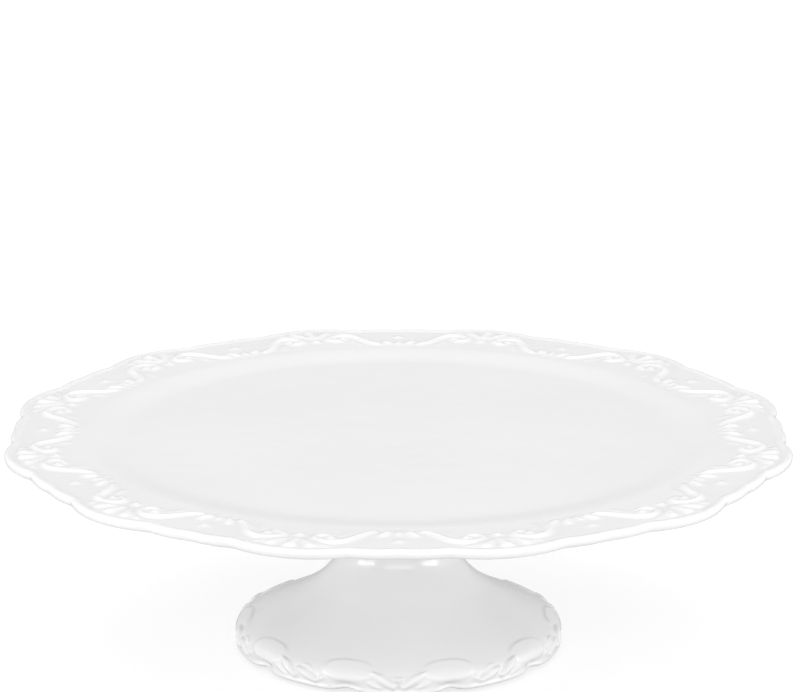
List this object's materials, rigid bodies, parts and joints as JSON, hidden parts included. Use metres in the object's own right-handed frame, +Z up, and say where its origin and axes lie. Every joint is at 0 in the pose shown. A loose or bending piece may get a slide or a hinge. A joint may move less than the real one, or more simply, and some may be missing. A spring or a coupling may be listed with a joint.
{
  "type": "cake turntable",
  "caption": "Round scalloped serving plate with an embossed rim that turns on a flared pedestal foot with a matching scalloped edge.",
  "frame": {"origin": "centre of the circle of rubber feet, on the surface that the stand rests on", "axes": "+Z up along the turning axis; -Y towards the front, where a foot scallop is centred; +X to the right"},
  "size_m": [0.2972, 0.2972, 0.0871],
  "materials": {
    "white_glaze": "gloss white glaze",
    "silicone": "matt translucent silicone",
    "black_rubber": "matt black rubber",
    "aluminium": "turned aluminium",
    "steel": "ground steel",
    "brass": "turned brass",
    "nylon": "natural nylon",
    "cap_plastic": "moulded white plastic"
  },
  "bodies": {
    "pedestal": {"pedestal": "white_glaze", "rubber_feet": "silicone", "neck_sleeve": "aluminium", "upper_gasket": "black_rubber", "lower_gasket": "black_rubber", "dust_seal": "black_rubber", "ring_nut": "aluminium", "upper_bush": "nylon", "lower_bush": "nylon", "lower_race": "steel", "grease_cap": "cap_plastic"},
    "plate": {"serving_plate": "white_glaze", "plate_cushion": "silicone", "threaded_inserts": "brass", "hub_flange": "aluminium", "flange_screws": "steel", "spindle": "steel", "upper_race": "steel", "thrust_washer": "steel", "disc_spring": "steel", "lock_nut": "steel"},
    "ball_cage": {"ball_cage": "brass", "bearing_balls": "steel"}
  },
  "joints": [
    {"name": "plate_spin", "type": "hinge", "parent": "pedestal", "child": "plate", "pos_m": [0, 0, 0.0717], "axis": [0, 0, 1], "continuous": true},
    {"name": "cage_spin", "type": "hinge", "parent": "pedestal", "child": "ball_cage", "pos_m": [0, 0, 0.0672], "axis": [0, 0, 1], "continuous": true}
  ],
  "couplings": [
    {"joint": "cage_spin", "follows": "plate_spin", "ratio": 0.5}
  ]
}
